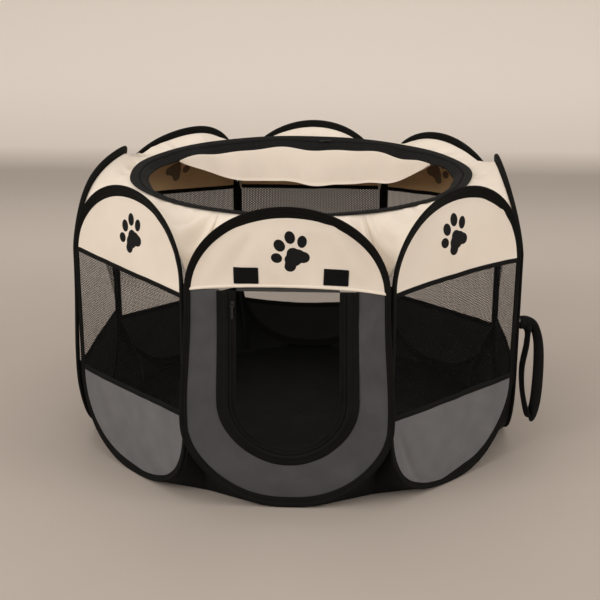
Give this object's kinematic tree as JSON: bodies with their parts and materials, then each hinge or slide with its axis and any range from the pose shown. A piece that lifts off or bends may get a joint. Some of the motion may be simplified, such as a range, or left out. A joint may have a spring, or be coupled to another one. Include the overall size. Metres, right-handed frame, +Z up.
{
  "type": "pet playpen",
  "caption": "Pop-up octagonal pet playpen: sprung hoops in black binding, cream and grey cloth, mesh windows, a zipped front door and an open round top.",
  "frame": {"origin": "centre of the octagonal floor, on the ground", "axes": "+Z up, -Y towards the door, +X towards the handle"},
  "size_m": [0.9832, 0.9276, 0.602],
  "materials": {
    "spring_steel": "flat sprung steel, satin",
    "binding": "ribbed woven binding, matt",
    "cream_cloth": "plain woven polyester, matt",
    "grey_cloth": "plain woven polyester, matt",
    "charcoal_cloth": "plain woven polyester, matt",
    "mesh": "knitted see-through mesh",
    "tape": "woven tape, matt",
    "hook_and_loop": "hook and loop pile",
    "black_cloth": "coated woven polyester",
    "zip_metal": "black lacquered die casting",
    "webbing": "woven webbing, slight sheen"
  },
  "bodies": {
    "front": {"hoop_front": "spring_steel", "binding_front": "binding", "upper_cloth_front": "cream_cloth", "lower_cloth_front": "charcoal_cloth", "door_border": "tape", "door_patches": "hook_and_loop", "floor_mat": "black_cloth", "canopy": "cream_cloth", "rim_tape": "tape"},
    "front_right": {"hoop_front_right": "spring_steel", "binding_front_right": "binding", "upper_cloth_front_right": "cream_cloth", "lower_cloth_front_right": "grey_cloth", "mesh_front_right": "mesh", "tapes_front_right": "tape"},
    "right": {"hoop_right": "spring_steel", "binding_right": "binding", "upper_cloth_right": "cream_cloth", "lower_cloth_right": "grey_cloth", "mesh_right": "mesh", "tapes_right": "tape"},
    "back_right": {"hoop_back_right": "spring_steel", "binding_back_right": "binding", "upper_cloth_back_right": "cream_cloth", "lower_cloth_back_right": "grey_cloth", "mesh_back_right": "mesh", "tapes_back_right": "tape"},
    "back": {"hoop_back": "spring_steel", "binding_back": "binding", "upper_cloth_back": "cream_cloth", "lower_cloth_back": "grey_cloth", "mesh_back": "mesh", "tapes_back": "tape", "top_cover": "cream_cloth"},
    "back_left": {"hoop_back_left": "spring_steel", "binding_back_left": "binding", "upper_cloth_back_left": "cream_cloth", "lower_cloth_back_left": "grey_cloth", "mesh_back_left": "mesh", "tapes_back_left": "tape"},
    "left": {"hoop_left": "spring_steel", "binding_left": "binding", "upper_cloth_left": "cream_cloth", "lower_cloth_left": "grey_cloth", "mesh_left": "mesh", "tapes_left": "tape"},
    "front_left": {"hoop_front_left": "spring_steel", "binding_front_left": "binding", "upper_cloth_front_left": "cream_cloth", "lower_cloth_front_left": "grey_cloth", "mesh_front_left": "mesh", "tapes_front_left": "tape"},
    "flap_1": {"door_flap_1": "charcoal_cloth"},
    "flap_2": {"door_flap_2": "charcoal_cloth"},
    "flap_3": {"door_flap_3": "charcoal_cloth"},
    "flap_4": {"door_flap_4": "charcoal_cloth"},
    "door_slider": {"door_slider": "zip_metal"},
    "door_pull": {"door_pull": "zip_metal"},
    "top_slider": {"top_slider": "zip_metal"},
    "handle": {"handle_strap": "webbing"}
  },
  "joints": [
    {"name": "fold", "type": "hinge", "parent": "front", "child": "front_right", "pos_m": [0.18743, -0.45249, 0.3], "axis": [0, 0, 1], "range_deg": [0, 120], "deforming": ["floor_mat", "canopy", "rim_tape", "top_cover", "top_slider"]},
    {"name": "fold_right", "type": "hinge", "parent": "front_right", "child": "right", "pos_m": [0.45749, -0.1895, 0.3], "axis": [0, 0, 1], "range_deg": [-120, 0]},
    {"name": "fold_back_right", "type": "hinge", "parent": "right", "child": "back_right", "pos_m": [0.45249, 0.18743, 0.3], "axis": [0, 0, 1], "range_deg": [0, 120]},
    {"name": "fold_back", "type": "hinge", "parent": "back_right", "child": "back", "pos_m": [0.1895, 0.45749, 0.3], "axis": [0, 0, 1], "range_deg": [-120, 0]},
    {"name": "fold_front_left", "type": "hinge", "parent": "front", "child": "front_left", "pos_m": [-0.1895, -0.45749, 0.3], "axis": [0, 0, 1], "range_deg": [0, 120]},
    {"name": "fold_left", "type": "hinge", "parent": "front_left", "child": "left", "pos_m": [-0.45249, -0.18743, 0.3], "axis": [0, 0, 1], "range_deg": [-120, 0]},
    {"name": "fold_back_left", "type": "hinge", "parent": "left", "child": "back_left", "pos_m": [-0.45749, 0.1895, 0.3], "axis": [0, 0, 1], "range_deg": [0, 120]},
    {"name": "door", "type": "hinge", "parent": "front", "child": "flap_1", "pos_m": [0, -0.45549, 0.434], "axis": [-1, 0, 0], "range_deg": [0, 180]},
    {"name": "door_crease_1", "type": "hinge", "parent": "flap_1", "child": "flap_2", "pos_m": [0, -0.45249, 0.51125], "axis": [-1, 0, 0], "range_deg": [-180, 0]},
    {"name": "door_crease_2", "type": "hinge", "parent": "flap_2", "child": "flap_3", "pos_m": [0, -0.45049, 0.434], "axis": [-1, 0, 0], "range_deg": [0, 180]},
    {"name": "door_crease_3", "type": "hinge", "parent": "flap_3", "child": "flap_4", "pos_m": [0, -0.44849, 0.51125], "axis": [-1, 0, 0], "range_deg": [-180, 0]},
    {"name": "door_zip", "type": "slide", "parent": "front", "child": "door_slider", "axis": [0, 0, -1], "range_m": [0, 0.18]},
    {"name": "door_pull_swing", "type": "hinge", "parent": "door_slider", "child": "door_pull", "pos_m": [-0.102, -0.46489, 0.409], "axis": [-1, 0, 0], "range_deg": [0, 150]},
    {"name": "top_zip", "type": "hinge", "parent": "back", "child": "top_slider", "pos_m": [0, 0, 0.568], "axis": [0, 0, 1], "range_deg": [-16, 26]},
    {"name": "handle_swing", "type": "hinge", "parent": "right", "child": "handle", "pos_m": [0.46369, -0.171, 0.305], "axis": [0, -1, 0], "range_deg": [0, 80]}
  ],
  "couplings": [
    {"joint": "fold_right", "follows": "fold", "ratio": -1},
    {"joint": "fold_back_right", "follows": "fold", "ratio": 1},
    {"joint": "fold_back", "follows": "fold", "ratio": -1},
    {"joint": "fold_front_left", "follows": "fold", "ratio": 1},
    {"joint": "fold_left", "follows": "fold", "ratio": -1},
    {"joint": "fold_back_left", "follows": "fold", "ratio": 1},
    {"joint": "door_crease_1", "follows": "door", "ratio": -1},
    {"joint": "door_crease_2", "follows": "door", "ratio": 1},
    {"joint": "door_crease_3", "follows": "door", "ratio": -1}
  ]
}
